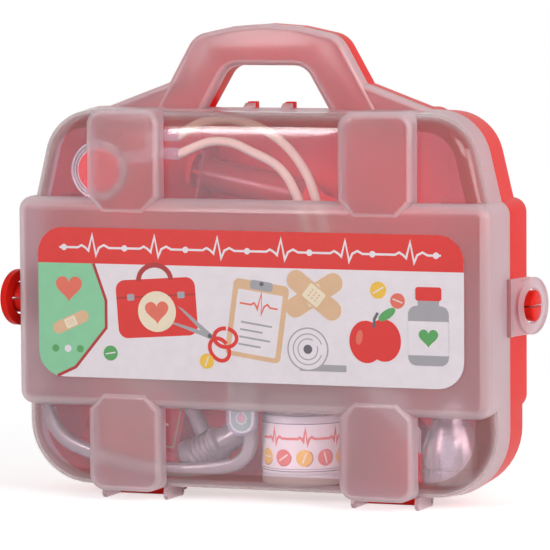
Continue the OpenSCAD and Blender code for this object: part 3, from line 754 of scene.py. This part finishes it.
def stroke(points, width):
    """The outline of a line of that width through the points, mitred."""
    left, right = [], []
    last = len(points) - 1
    for i, (x, y) in enumerate(points):
        before, after = Vector(points[max(i - 1, 0)]), Vector(points[min(i + 1, last)])
        here = Vector((x, y))
        a = (here - before).normalized() if i else (after - here).normalized()
        b = (after - here).normalized() if i < last else a
        normal = Vector((-a.y - b.y, a.x + b.x)).normalized()
        reach = width / 2 / max(0.35, normal.dot(Vector((-a.y, a.x))))
        left.append((x + normal.x * reach, y + normal.y * reach))
        right.append((x - normal.x * reach, y - normal.y * reach))
    return left + right[::-1]


def heart(size):
    """A heart about its middle, size wide."""
    points = []
    for k in range(40):
        a = 2 * math.pi * k / 40
        x = 16 * math.sin(a) ** 3
        y = 13 * math.cos(a) - 5 * math.cos(2 * a) - 2 * math.cos(3 * a) - math.cos(4 * a)
        points.append((x * size / 32, (y + 2) * size / 32))
    return points[::-1]


def pulse(x0, x1, beats, y, height):
    """A heartbeat line from x0 to x1."""
    line = [(x0, y)]
    pitch = (x1 - x0) / beats
    shape = ((0.30, 0), (0.36, 0.18), (0.42, 0), (0.47, -0.25), (0.53, 1), (0.59, -0.6), (0.64, 0),
             (0.72, 0.22), (0.80, 0))
    for i in range(beats):
        line += [(x0 + pitch * (i + u), y + v * height) for u, v in shape]
    return line + [(x1, y)]


class Print:
    """Flat shapes in ink: thin prisms that a mapping lays on a surface."""

    def __init__(self):
        self.shapes = []
        self.inks = []

    def add(self, ink, points, layer=1):
        if ink not in self.inks:
            self.inks.append(ink)
        self.shapes.append((self.inks.index(ink), points, layer))

    def icon(self, shapes, x, y, angle=0.0, scale=1.0, above=0):
        for ink, points, layer in shapes:
            self.add(ink, placed(points, x, y, angle, scale), layer + above)

    def build(self, name, place, step=0.0):
        """The mesh, with each point (across, up, out) put where place says, cut every step across."""
        bm = bmesh.new()
        for order, (ink, points, layer) in enumerate(self.shapes):
            top = layer * INK_T + order * OVERPRINT
            low = [bm.verts.new((x, y, -INK_T / 2)) for x, y in points]
            high = [bm.verts.new((x, y, top)) for x, y in points]
            count = len(points)
            faces = [bm.faces.new(low), bm.faces.new(high)]
            for k in range(count):
                faces.append(bm.faces.new((low[k], low[(k + 1) % count], high[(k + 1) % count], high[k])))
            for face in faces:
                face.material_index = ink
        bmesh.ops.recalc_face_normals(bm, faces=bm.faces)
        bmesh.ops.triangulate(bm, faces=[f for f in bm.faces if len(f.verts) > 4])
        if step:
            spread = [v.co.x for v in bm.verts]
            x = math.ceil(min(spread) / step) * step
            while x < max(spread):
                parts = bm.verts[:] + bm.edges[:] + bm.faces[:]
                bmesh.ops.bisect_plane(bm, geom=parts, dist=1e-5, plane_co=(x, 0, 0), plane_no=(1, 0, 0))
                x += step
        for v in bm.verts:
            v.co = place(*v.co)
        return paint(new_object(name, bm, 20), *[INKS[ink] for ink in self.inks])


def bag_icon():
    return [("red", rounded(0, 0, 44, 30, 5), 1), ("deep_red", stroke(arc(0, 14, 9, 180, 0, 14, 8), 2.6), 1),
            ("deep_red", stroke([(-22, 6), (22, 6)], 0.9), 2), ("cream", disc(0, -2, 10.5), 2),
            ("coral", placed(heart(13), 0, -2.5), 3), ("grey", rounded(-14, 6, 4, 3.4, 0.8), 3),
            ("grey", rounded(14, 6, 4, 3.4, 0.8), 3)]


def clipboard_icon():
    lines = [("grey", stroke([(-9, y), (9 - 5 * (k % 2), y)], 1.0), 3)
             for k, y in enumerate((-2, -6, -10, -14))]
    return [("tan", rounded(0, 0, 32, 42, 3), 1), ("white", rounded(0, -1.5, 26, 34, 1), 2),
            ("grey", rounded(0, 19, 13, 5, 1.6), 3), ("dark", disc(0, 20, 1.2), 4),
            ("coral", stroke(pulse(-11, 11, 1, 8, 7), 1.0), 3)] + lines


def plaster_icon():
    dots = [("tan", disc(x, y, 0.6), 4) for x in (-2.6, 0, 2.6) for y in (-2, 0, 2)]
    return [("tan", rounded(0, 0, 40, 12, 6), 2), ("cream", rounded(0, 0, 12, 9.6, 1), 3)] + dots


def roll_icon():
    return [("grey", rounded(11, -12.6, 34, 4.6, 1), 1), ("grey", disc(0, 0, 15), 1),
            ("white", disc(0, 0, 14), 2), ("grey", stroke(arc(0, 0, 10.6, 20, 340, 30), 0.8), 3),
            ("grey", stroke(arc(0, 0, 7.2, 60, 380, 24), 0.8), 3), ("dark", disc(0, 0, 3.2), 3)]


def apple_icon():
    return [("red", disc(-5.5, 0, 10.5, 12.5), 1), ("red", disc(5.5, 0, 10.5, 12.5), 2),
            ("dark", stroke([(0, 8), (1, 13), (3.4, 16.5)], 1.6), 3),
            ("leaf", placed(disc(0, 0, 6, 2.6), 9, 15, 28), 3),
            ("coral", placed(disc(0, 0, 2, 4.4), -9.5, 3, -16), 3)]


def bottle_icon():
    return [("grey", rounded(0, -4, 25, 35, 5), 1), ("white", rounded(0, -5.5, 25, 20, 0.6), 2),
            ("grey", rounded(0, 15, 13, 6, 1), 1), ("red", rounded(0, 20.5, 16, 8, 1.6), 2),
            ("leaf", placed(heart(12), 0, -5.5), 3)]


def scissors_icon():
    blades = [("grey", placed([(-1.8, 0), (1.8, 0), (1.2, 26), (0, 30)], 0, 0, a), 1) for a in (-12, 12)]
    loops = [("red", stroke(placed(arc(0, -11, 6.2, 0, 350, 30, 8), 0, 0, a), 2.6), layer)
             for a, layer in ((-24, 2), (24, 3))]
    return blades + loops + [("dark", disc(0, 0, 1.6), 4)]


def tablet_icon(ink):
    return [(ink, disc(0, 0, 5), 1), ("white", stroke([(-3.6, 0), (3.6, 0)], 0.8), 2)]


def build_card():
    """The card on the band: a red strip with a heartbeat line, a green panel and flat pictures."""
    face = Print()
    top = CARD_H / 2
    below = top - STRIP_H
    left, right = -CARD_W / 2, CARD_W / 2
    corner = arc(right - CARD_R, top - CARD_R, CARD_R, 0, 90, 10)
    other = arc(left + CARD_R, top - CARD_R, CARD_R, 90, 180, 10)
    face.add("red", [(left, below), (right, below)] + corner + other)
    face.add("white", stroke(pulse(left + 14, right - 14, 6, top - 12, 7.5), 1.3), 2)
    for k in range(7):
        face.add("white", disc(left + 17 + k * (CARD_W - 34) / 6, top - 12, 1.9), 3)
    low = arc(left + CARD_R, -top + CARD_R, CARD_R, 180, 256, 10)
    edge = [(left + 24, -top + 6), (left + 44, -top + 30), (left + 44, below - 22), (left + 36, below)]
    face.add("green", low + edge + [(left, below)])
    face.add("deep_red", stroke([low[-1]] + edge, 1.8), 2)
    face.add("coral", placed(heart(17), left + 20, 8), 3)
    face.icon(plaster_icon(), left + 21, -12, 24, 0.62)
    for k, ink in enumerate(("leaf", "white", "leaf")):
        face.add(ink, disc(left + 11 + 8 * k, -28, 2.2), 3)
    face.icon(bag_icon(), -58, -2, 4, 1.16)
    face.icon(scissors_icon(), -24, -18, 62, 0.9)
    face.icon(clipboard_icon(), 6, -8, -8, 1.1)
    face.icon(plaster_icon(), 42, 8, 32)
    face.icon(plaster_icon(), 42, 8, -38, above=3)
    face.icon(roll_icon(), 38, -24, 0, 0.86)
    face.icon(apple_icon(), 80, -18, 6, 1.0)
    face.icon(bottle_icon(), 113, -10, 0, 1.0)
    face.icon(tablet_icon("yellow"), 82, 12, 30)
    face.icon(tablet_icon("coral"), 94, 6, -20, 0.9)
    face.icon(tablet_icon("leaf"), -88, -30, 10, 0.9)
    face.icon(tablet_icon("yellow"), -26, -33, 70, 0.9)
    front = BAND_D + CARD_T
    ink = face.build("label_print", lambda x, y, out: (x, -front - out, BAND_MID + y))
    card = skin("label_sheet", [[(x, -d, BAND_MID + z) for x, z in rounded(0, 0, CARD_W, CARD_H, CARD_R)]
                                for d in (BAND_D + 2 * INK_T, front)])
    stand_for(card, "label_card", "lid", "printed_card", INKS["white"])
    stand_for(ink, "label_card", "lid", "printed_card")


build_card()


# ---------------------------------------------------------------- the stethoscope
def build_headset():
    """Two squarish arms from the ear tips to a link, which has a socket for each tube."""
    low, high = box("headset")
    low_z = low.z + ARM_R
    mid_z = (low.z + high.z) / 2
    y = (low.y + high.y) / 2
    link_x = high.x - 12
    bend_x = low.x + ARM_R + BEND_R
    long_x = (bend_x + link_x - TURN_R) / 2 + 10
    long_z = low_z + LONG_R

    def join(x, r):
        """Height and angle at which an arc of radius r at x meets the long arc."""
        z = long_z - math.sqrt((LONG_R - r) ** 2 - (x - long_x) ** 2)
        return z, 360 + math.degrees(math.atan2(z - long_z, x - long_x))

    bend_z, bend_a = join(bend_x, BEND_R)
    turn_z, turn_a = join(link_x - TURN_R, TURN_R)
    lower = arc(bend_x, bend_z, BEND_R, EAR_ANGLE, bend_a, 14)
    lower += arc(long_x, long_z, LONG_R, bend_a, turn_a, 22)[1:]
    lower += arc(link_x - TURN_R, turn_z, TURN_R, turn_a, 360, 12)[1:]
    upper = [(x, 2 * mid_z - z) for x, z in reversed(lower)]
    count = len(lower) * 2
    radii = [ARM_R] * count
    # A ring between two grooves halfway along each arm
    for groove in (24, 26):
        radii[groove] = radii[count - 1 - groove] = ARM_R - 0.45
    a = math.radians(EAR_ANGLE)
    first = Vector((-math.sin(a), 0, math.cos(a)))
    last = Vector((math.sin(a), 0, math.cos(a)))
    arms = sweep("headset_arms", [Vector((x, y, z)) for x, z in lower + upper], radii, 28, 4, first, last)
    for line in (OUTER_ROUTE, INNER_ROUTE):
        socket = revolve("socket", [(0, 0), (3.8, 0), (3.8, 8.6), (3.5, 9), (3.5, 9.6), (3.8, 10),
                                    (3.8, 11.6), (3.4, 12), (0, 12)], 40)
        move(socket, at(link_x, y, line[0][2]) @ turned(90, "Y"))
        boolean(arms, socket, "UNION")
    smooth(arms, 40)
    stand_for(arms, "headset", "root", "grey_plastic", GREY)

    profile = [(0, 0), (3, 0), (3.2, 1.6), (3.6, 2.6)] + arc(3.4, 5.5, 2.2, -62, 90, 9) + [(0, 8.6)]
    mirrored = at(0, 0, 2 * mid_z) @ Matrix.Scale(-1, 4, Vector((0, 0, 1)))
    x, z = lower[0]
    for name in ("ear_tip_lower", "ear_tip_upper"):
        tip = move(revolve(name, profile, 40, 40), at(x, y, z) @ turned(180 - EAR_ANGLE, "Y"))
        if name == "ear_tip_upper":
            move(tip, mirrored)
            tip.data.flip_normals()
        stand_for(tip, "ear_tips", "root", "grey_plastic", GREY)


def build_chest_piece():
    """A disc with a grooved rim, and the red face in its front."""
    centre = middle("chest_piece")
    r = CHEST_R
    back, front = -CHEST_T / 2, CHEST_T / 2
    rim = [(0, back), (r - 5, back), (r - 2.4, back + 0.8), (r - 0.4, back + 2.6), (r, back + 4),
           (r, front - 1)]
    rim += arc(r - 0.9, front - 1, 0.9, 0, 180, 8, 1) + [(r - 1.9, front - 1.5)]
    rim += arc(r - 2.7, front - 1.4, 0.8, 0, 180, 8, 0.9)
    body = revolve("chest_body", rim + [(r - 3.6, front - 1.8), (0, front - 1.8)], 96, 30)
    disc_face = revolve("chest_face", [(0, 0), (13.4, 0), (13.4, 0.7), (12.8, 1.1), (10.4, 1.1), (10.2, 0.8),
                                       (9.4, 0.8), (9.2, 1.1), (0, 1.2)], 80, 20)
    towards_lid = turned(90, "X")
    stand_for(move(body, at(*centre) @ towards_lid), "chest_piece", "root", "grey_plastic", PEARL)
    seat = at(centre.x, box("chest_disc")[1].y, centre.z)
    stand_for(move(disc_face, seat @ towards_lid), "chest_disc", "root", "red_plastic", RED)


# ---------------------------------------------------------------- jar, carton and thermometer
def build_jar():
    """A hollow milky jar with a printed wrap, and its ribbed cap."""
    low, high = box("pill_jar")
    z = low.z
    r = (high.x - low.x) / 2
    stand = at((low.x + high.x) / 2, (low.y + high.y) / 2, z)
    outside = [(0, 0.8), (r - 7, 0.8), (r - 6, 0), (r - 2, 0)] + arc(r - 2, 2, 2, -90, 0, 6)
    outside += [(r, 6.4), (r - 0.4, 6.8), (r - 0.4, 7.4), (r, 7.8), (r, 41.4), (r - 0.6, 42.6),
                (r - 1.4, 43), (r - 2.4, 43), (r - 2.4, 52)]
    inside = [(r - 4, 52), (r - 4, 42), (r - 1.6, 39), (r - 1.6, 1.6), (0, 1.6)]
    body = revolve("jar_body", outside + inside, 112, 30)
    stand_for(move(body, stand), "pill_jar", "root", "white_plastic", MILKY)
    (bottom, top), (inner, outer) = WRAP_Z, WRAP_OUT
    wrap = [ring_of(r + out, up, 112)
            for out, up in ((inner, bottom), (outer, bottom), (outer, top), (inner, top))]
    sheet = skin("jar_wrap", wrap + wrap[:1], 30)
    stand_for(move(sheet, stand), "jar_label", "root", "printed_card", JAR_PAPER)

    face = Print()
    for y0, w in ((-14.2, 0.5), (-12.9, 0.3), (14.2, 0.5)):
        face.add("dark", rounded(0, y0, 96, w, 0.1))
    face.add("coral", stroke(pulse(-30, 30, 3, 5.4, 5.5), 1.5), 1)
    for k, ink in enumerate(("yellow", "coral", "yellow", "coral", "yellow")):
        u = -26 + 13 * k
        face.icon([(ink, disc(0, 0, 5), 1), ("cream", stroke([(-3.4, 0), (3.4, 0)], 0.9), 2),
                   ("deep_red", stroke(arc(0, 0, 5, -150, -20, 14), 0.5), 2)], u, -6, 35 * k)
    front_right = math.radians(-69)

    def on_jar(u, v, out):
        a = front_right + u / r
        reach = r + outer + out
        return (reach * math.cos(a), reach * math.sin(a), (bottom + top) / 2 + v)
    art = face.build("jar_print", on_jar, 1.5)
    stand_for(move(art, stand), "jar_label", "root", "printed_card")

    cap_low, cap_high = box("jar_cap")
    cap_r = (cap_high.x - cap_low.x) / 2
    z0, z1 = cap_low.z - z, cap_high.z - z
    under = [(0, 52.4), (r - 2.1, 52.4), (r - 2.1, z0), (cap_r - 0.5, z0), (cap_r, z0 + 0.5),
             (cap_r, z0 + 1.6)]
    crown = arc(cap_r - 2, z1 - 2, 2, 0, 90, 6) + [(cap_r - 4, z1), (cap_r - 4.6, z1 - 0.5), (0, z1 - 0.5)]
    rings = [ring_of(cr, cz, CAP_STEPS) for cr, cz in under]
    rings += [ring_of(cap_r, cz, CAP_STEPS, CAP_RIBS, CAP_RIB_DEPTH) for cz in (z0 + 2, z1 - 3)]
    rings += [ring_of(cr, cz, CAP_STEPS) for cr, cz in crown]
    cap = skin("jar_lid", rings, 32)
    stand_for(move(cap, stand), "jar_cap", "jar_cap_body", "grey_plastic", GREY)


def build_carton():
    """A folded carton with a generic print, leaning in the case's lower left."""
    w, d, h = CARTON_W, CARTON_D, CARTON_H
    body = rounded_box((-w, -d, 0), (0, 0, h), 0.7, "carton_box")
    for z in (5.5, h - 5.5):
        slot = block((-w - 1, -d - 1, z), (1, -d + 0.25, z + 0.5))
        boolean(body, slot, "DIFFERENCE")
    face = Print()
    face.add("olive", stroke([(-28, 9), (28, 9), (28, 89), (-28, 89), (-28, 8.4)], 1.1))
    face.add("cream", disc(0, 56, 21), 1)
    face.icon(plaster_icon(), 0, 56, 38, 0.9)
    face.icon(plaster_icon(), 0, 56, -38, 0.9, above=3)
    face.add("cream", stroke(pulse(-22, 22, 2, 22, 8), 1.3), 1)
    for k in range(5):
        face.add("yellow", disc(-20 + 10 * k, 13.6, 1.6), 1)
    art = face.build("carton_print", lambda u, v, out: (u - w / 2, -d - out, v))
    place = at(CARTON_X, box("plaster_carton")[1].y, CARTON_Z) @ turned(CARTON_LEAN, "Y")
    stand_for(move(body, place), "plaster_carton", "root", "carton_board", BOARD)
    stand_for(move(art, place), "plaster_carton", "root", "carton_board")


def build_thermometer():
    """A clear case with a printed liner in it."""
    low, high = box("thermometer_case")
    w, length = high.x - low.x, high.z - low.z
    x = (low.x + high.x) / 2

    def form(name, inset, y0, y1, edge):
        """The round-ended outline, inset all round, from y0 to y1 with rounded edges."""
        rings = []
        r = w / 2 - inset
        for depth, more in [(y0, edge), (y0 + edge * 0.3, edge * 0.3), (y0 + edge, 0), (y1 - edge, 0),
                            (y1 - edge * 0.3, edge * 0.3), (y1, edge)]:
            q = r - more
            top = length - inset - more
            points = arc(0, w / 2, q, 180, 360, 24)
            points += arc(q - 2, top - 2, 2, 0, 90, 5) + arc(2 - q, top - 2, 2, 90, 180, 5)
            rings.append([(x + u, depth, low.z + v) for u, v in points])
        return skin(name, rings, 30)
    shell = form("thermometer_body", 0, low.y, high.y, 1.0)
    boolean(shell, form("room", 1.5, low.y + 1.5, high.y - 1.5, 0.3), "DIFFERENCE")
    stand_for(shell, "thermometer_case", "root", "clear_plastic", CLEAR)
    front, back = low.y + 1.8, high.y - 1.8
    liner = form("thermometer_liner", 1.7, front, back, 0.3)
    stand_for(liner, "thermometer_scale", "root", "green_plastic", WHITE)
    face = Print()
    half = w / 2 - 3
    face.add("leaf", arc(0, w / 2, half, 180, 360, 20) + [(half, length - 5), (-half, length - 5)], 1)
    face.add("white", stroke(arc(0, w / 2 + 1, 3.2, 110, 430, 20) + [(1.1, length - 12)], 0.7), 2)
    face.add("coral", disc(0, w / 2 + 1, 2.3), 2)
    face.add("coral", rounded(0, 34, 1.1, 46, 0.5), 2)
    for k in range(17):
        face.add("white", rounded(3.4, 20 + 4.4 * k, 1.8 if k % 4 else 3.0, 0.5, 0.1), 2)
    art = face.build("thermometer_print", lambda u, v, out: (x + u, front - out, low.z + v))
    stand_for(art, "thermometer_scale", "root", "green_plastic")


# ---------------------------------------------------------------- hammer and otoscope
def build_hammer():
    """The head, ribbed between a flat end and a round one. The handle shows as the CAD has it."""
    r, h = HAMMER_R, HAMMER_HALF
    waist = r - 2
    profile = [(0, -h), (r - 3, -h)] + arc(r - 1, -h + 1, 1, -90, 0, 5)
    profile += [(r, -h + 6.4), (r - 0.8, -h + 7.4)]
    z = -h + 8.4
    for k in range(3):
        profile += [(waist, z), (waist + 0.7, z + 0.7), (waist + 0.7, z + 2.1), (waist, z + 2.8)]
        z += 3.6
    profile += [(waist, -2), (waist + 1, -0.6), (waist + 1, 2), (waist - 1, 4), (waist - 1.6, 14)]
    profile += arc(0, 14, waist - 1.6, 12, 90, 9, 8)
    head = revolve("hammer_body", profile, 96, 28)
    centre = at(HAMMER_X, middle("hammer_head").y, HAMMER_Z)
    place = centre @ turned(HAMMER_LEAN, "Y") @ turned(90, "Y")
    stand_for(move(head, place), "hammer_head", "root", "grey_plastic", GREY)
    keep("hammer_handle", GREY)


def build_otoscope():
    """The head, a bell on a grooved foot. The handle shows as the CAD has it."""
    low, high = box("otoscope_head")
    r, h = (high.x - low.x) / 2, high.z - low.z
    profile = [(0, 3), (r - 3, 3), (r - 3, 0.4), (r - 2.6, 0), (r - 1.4, 0), (r - 0.2, 1), (r, 2), (r, 9.4),
               (r - 0.4, 10), (r - 0.4, 10.8), (r, 11.4), (r, h * 0.30)]
    for k in range(1, 9):
        u = k / 8
        profile.append((r - 5.2 * u * u, h * (0.30 + 0.42 * u)))
    profile += [(9.8, h * 0.80), (9.5, h * 0.82), (9.5, h * 0.86), (9, h * 0.9), (8.2, h - 1), (7.5, h),
                (2, h), (2, h - 8), (0, h - 8)]
    head = revolve("otoscope_body", profile, 96, 28)
    place = at((low.x + high.x) / 2, (low.y + high.y) / 2, low.z)
    stand_for(move(head, place), "otoscope_head", "root", "grey_plastic", PEARL)
    keep("otoscope_handle", PEARL)


build_headset()
build_chest_piece()
build_jar()
build_carton()
build_thermometer()
build_hammer()
build_otoscope()
keep("tube_connector", CLEAR)
keep("syringe_barrel", SYRINGE)
keep("syringe_tip", RED)
keep("syringe_plunger", RED)


# ---------------------------------------------------------------- floor and light
# How far from the middle, in metres, the floor starts and ends its run out to plain white
NEAR, FAR = 0.30, 0.95
# In millimetres
FLOOR_SIZE = 6000
FLOOR_GLOW = 0.6
PAPER = (0.85, 0.85, 0.85, 1)
PLAIN_WHITE = (1, 1, 1, 1)
WORLD_LIGHT = 0.3
LAMP_TARGET = Vector((0, 0, 0.13))
# Name, place in metres, width, height and power of each soft lamp
LAMPS = (("key", (1.5, -1.15, 1.15), 0.9, 0.9, 12.5), ("fill", (-1.6, -1.3, 0.9), 1.2, 1.2, 0.8),
         ("side", (1.9, -0.25, 0.6), 0.9, 0.9, 12), ("top", (0.1, 0.3, 1.9), 1.0, 1.0, 1),
         ("strip", (-0.54, -1.40, 0.55), 0.16, 0.62, 5.5))


def seen_by_eye(tree):
    """1 for camera rays and for what metal, gloss and clear plastic show."""
    path = tree.nodes.new("ShaderNodeLightPath")
    total = path.outputs["Is Camera Ray"]
    for name in ("Is Glossy Ray", "Is Transmission Ray"):
        more = tree.nodes.new("ShaderNodeMath")
        more.operation = "MAXIMUM"
        tree.links.new(total, more.inputs[0])
        tree.links.new(path.outputs[name], more.inputs[1])
        total = more.outputs[0]
    return total


def build_floor():
    """White paper that keeps the object's shadow near it and runs out to plain white."""
    n = Nodes("floor_paper")
    paper = n.node("BsdfDiffuse", Color=PAPER)
    glow = n.node("Emission", Color=PLAIN_WHITE, Strength=FLOOR_GLOW)
    near = n.node("AddShader")
    n.put(near.inputs[0], paper.outputs[0])
    n.put(near.inputs[1], glow.outputs[0])
    white = n.node("Emission", Color=PLAIN_WHITE, Strength=1.0)
    far_off = n.node("VectorMath")
    far_off.operation = "LENGTH"
    n.put(far_off.inputs[0], n.place())
    seen = n.blend(n.ramp(far_off.outputs["Value"], 0, 1, NEAR, FAR), near.outputs[0], white.outputs[0])
    mesh = bmesh.new()
    bmesh.ops.create_grid(mesh, x_segments=8, y_segments=8, size=FLOOR_SIZE)
    floor = paint(new_object("floor", mesh), n.finish(n.blend(seen_by_eye(n.tree), paper.outputs[0], seen)))


def build_world():
    """Dim white light from all round that shows as plain white."""
    world = bpy.data.worlds.new("studio")
    bpy.context.scene.world = world
    world.use_nodes = True
    tree = world.node_tree
    sky = tree.nodes["Background"]
    seen = tree.nodes.new("ShaderNodeBackground")
    for background, strength in ((sky, WORLD_LIGHT), (seen, 1.0)):
        background.inputs["Color"].default_value = PLAIN_WHITE
        background.inputs["Strength"].default_value = strength
    mix = tree.nodes.new("ShaderNodeMixShader")
    tree.links.new(seen_by_eye(tree), mix.inputs[0])
    tree.links.new(sky.outputs[0], mix.inputs[1])
    tree.links.new(seen.outputs[0], mix.inputs[2])
    tree.links.new(mix.outputs[0], tree.nodes["World Output"].inputs["Surface"])


def build_lamps():
    for name, place, width, height, power in LAMPS:
        data = bpy.data.lights.new(name, "AREA")
        data.shape = "RECTANGLE"
        data.size = width
        data.size_y = height
        data.energy = power
        lamp = bpy.data.objects.new(name, data)
        bpy.context.scene.collection.objects.link(lamp)
        lamp.location = place
        aim = LAMP_TARGET - Vector(place)
        lamp.rotation_euler = aim.to_track_quat("-Z", "Y").to_euler()


build_floor()
build_world()
build_lamps()
bpy.context.scene.view_settings.view_transform = "Standard"
